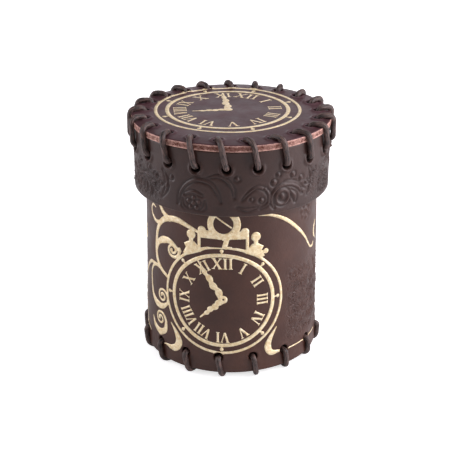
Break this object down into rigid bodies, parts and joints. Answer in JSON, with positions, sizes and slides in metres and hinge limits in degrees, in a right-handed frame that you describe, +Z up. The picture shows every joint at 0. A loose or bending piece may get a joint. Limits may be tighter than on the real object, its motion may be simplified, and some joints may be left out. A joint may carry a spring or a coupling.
{
  "type": "leather dice cup",
  "caption": "Round laced leather dice cup with a deep lift-off lid, for shaking and storing dice.",
  "frame": {"origin": "on the cup's axis, on the surface that the cup stands on", "axes": "+Z up along the cup's axis; -Y is the front, where the dial on the cup faces"},
  "size_m": [0.0951, 0.0954, 0.1171],
  "materials": {
    "cup_leather": "dark brown waxed leather, smooth grain, softly glossy",
    "base_leather": "dark brown leather, matt, with a bare tan edge",
    "lid_leather": "dark brown leather with a bare pinkish tan edge",
    "lace_leather": "round dark brown leather lace, satin",
    "waxed_thread": "dark waxed thread",
    "gold_foil": "pale gold foil print, slightly mottled"
  },
  "bodies": {
    "cup": {"cup_wall": "cup_leather", "cup_base": "base_leather", "base_lace": "lace_leather", "cup_seam_thread": "waxed_thread"},
    "lid": {"lid_band": "lid_leather", "lid_top": "lid_leather", "lid_lace": "lace_leather", "lid_seam_thread": "waxed_thread"}
  },
  "joints": [
    {"name": "lid_lift", "type": "slide", "parent": "cup", "child": "lid", "axis": [0, 0, 1], "range_m": [0, 0.06]}
  ]
}
